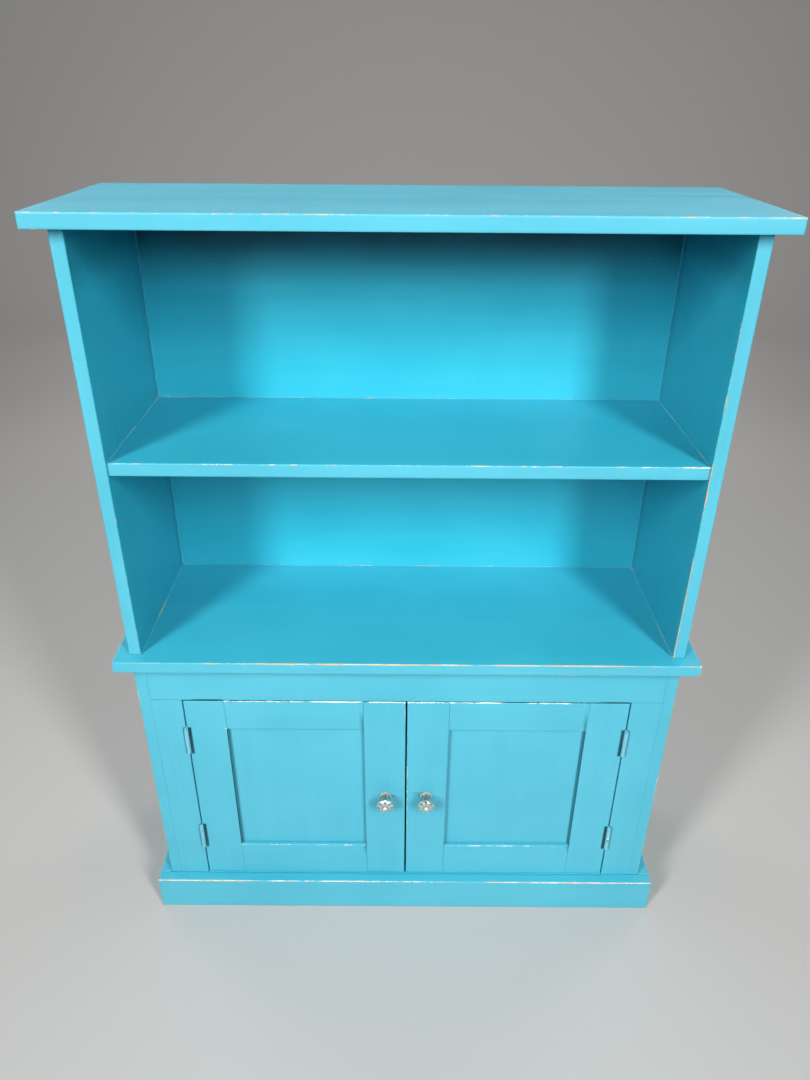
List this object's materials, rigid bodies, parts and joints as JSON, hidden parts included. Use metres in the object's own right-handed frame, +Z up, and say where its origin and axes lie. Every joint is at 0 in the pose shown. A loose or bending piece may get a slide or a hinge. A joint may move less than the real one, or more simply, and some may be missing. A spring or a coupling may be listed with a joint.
{
  "type": "hutch cabinet",
  "caption": "Painted wooden hutch cabinet with an open shelved upper unit on a base cupboard, closed by framed doors with glass knobs.",
  "frame": {"origin": "on the floor, under the middle of the whole cabinet's bounding box", "axes": "+Z up; the doors and open shelves face -Y; +X is the viewer's right when the front is seen"},
  "size_m": [0.8834, 0.299, 1.18],
  "materials": {
    "painted_wood": "satin brush-painted turquoise, worn at the edges",
    "painted_hinge": "steel painted over with the body",
    "screw_steel": "plain steel",
    "clear_glass": "clear pressed glass with flat facets"
  },
  "bodies": {
    "carcass": {"top_board": "painted_wood", "upper_side_left": "painted_wood", "upper_side_right": "painted_wood", "middle_shelf": "painted_wood", "upper_back_panel": "painted_wood", "counter_top": "painted_wood", "base_side_left": "painted_wood", "base_side_right": "painted_wood", "base_back_panel": "painted_wood", "base_bottom_board": "painted_wood", "face_top_rail": "painted_wood", "face_stile_left": "painted_wood", "face_stile_right": "painted_wood", "door_stop_batten": "painted_wood", "plinth_front": "painted_wood", "plinth_side_left": "painted_wood", "plinth_side_right": "painted_wood", "hinge_left_top_frame_leaf": "painted_hinge", "hinge_left_top_pin": "painted_hinge", "hinge_left_top_frame_screw_upper": "screw_steel", "hinge_left_top_frame_screw_lower": "screw_steel", "hinge_left_bottom_frame_leaf": "painted_hinge", "hinge_left_bottom_pin": "painted_hinge", "hinge_left_bottom_frame_screw_upper": "screw_steel", "hinge_left_bottom_frame_screw_lower": "screw_steel", "hinge_right_top_frame_leaf": "painted_hinge", "hinge_right_top_pin": "painted_hinge", "hinge_right_top_frame_screw_upper": "screw_steel", "hinge_right_top_frame_screw_lower": "screw_steel", "hinge_right_bottom_frame_leaf": "painted_hinge", "hinge_right_bottom_pin": "painted_hinge", "hinge_right_bottom_frame_screw_upper": "screw_steel", "hinge_right_bottom_frame_screw_lower": "screw_steel"},
    "door_left": {"door_left_outer_stile": "painted_wood", "door_left_inner_stile": "painted_wood", "door_left_top_rail": "painted_wood", "door_left_bottom_rail": "painted_wood", "door_left_panel": "painted_wood", "knob_left_glass": "clear_glass", "knob_left_screw": "screw_steel", "hinge_left_top_door_leaf": "painted_hinge", "hinge_left_top_door_screw_upper": "screw_steel", "hinge_left_top_door_screw_lower": "screw_steel", "hinge_left_bottom_door_leaf": "painted_hinge", "hinge_left_bottom_door_screw_upper": "screw_steel", "hinge_left_bottom_door_screw_lower": "screw_steel"},
    "door_right": {"door_right_outer_stile": "painted_wood", "door_right_inner_stile": "painted_wood", "door_right_top_rail": "painted_wood", "door_right_bottom_rail": "painted_wood", "door_right_panel": "painted_wood", "knob_right_glass": "clear_glass", "knob_right_screw": "screw_steel", "hinge_right_top_door_leaf": "painted_hinge", "hinge_right_top_door_screw_upper": "screw_steel", "hinge_right_top_door_screw_lower": "screw_steel", "hinge_right_bottom_door_leaf": "painted_hinge", "hinge_right_bottom_door_screw_upper": "screw_steel", "hinge_right_bottom_door_screw_lower": "screw_steel"}
  },
  "joints": [
    {"name": "door_left_hinge", "type": "hinge", "parent": "carcass", "child": "door_left", "pos_m": [-0.3511, -0.1225, 0.2643], "axis": [0, 0, -1], "range_deg": [0, 170]},
    {"name": "door_right_hinge", "type": "hinge", "parent": "carcass", "child": "door_right", "pos_m": [0.3511, -0.1225, 0.2643], "axis": [0, 0, 1], "range_deg": [0, 170]}
  ]
}
